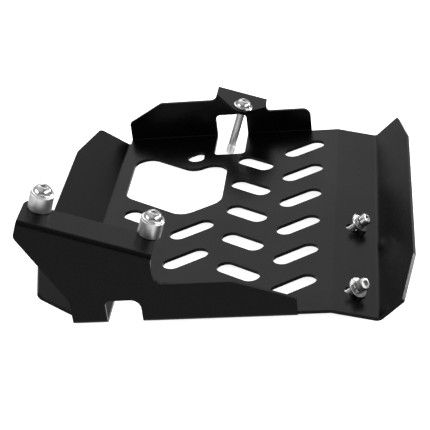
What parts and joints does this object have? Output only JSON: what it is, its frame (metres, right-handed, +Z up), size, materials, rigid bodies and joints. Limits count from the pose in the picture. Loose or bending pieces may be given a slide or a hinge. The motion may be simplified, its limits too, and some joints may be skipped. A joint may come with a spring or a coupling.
{
  "type": "motorcycle skid plate",
  "caption": "Black folded-steel engine guard for a motorcycle, with slanted drain slots, a drain opening, raised mounting tabs, spacers, bolts and loose front screws.",
  "frame": {"origin": "middle of the floor's underside, between its rear and front folds", "axes": "X to the front of the machine, Y to its left side, Z up"},
  "size_m": [0.3118, 0.324, 0.1219],
  "materials": {
    "black_coat": "satin powder coat",
    "chrome_steel": "polished",
    "zinc_steel": "bright zinc"
  },
  "bodies": {
    "root": {"skid_plate": "black_coat", "right_rear_spacer": "chrome_steel", "right_front_spacer": "chrome_steel", "right_rear_bolt": "chrome_steel", "right_front_bolt": "chrome_steel", "left_bolt": "chrome_steel", "front_screw_left": "zinc_steel", "front_screw_right": "zinc_steel", "front_flat_washer_left": "zinc_steel", "front_flat_washer_right": "zinc_steel", "front_spring_washer_left": "zinc_steel", "front_spring_washer_right": "zinc_steel"}
  },
  "joints": []
}
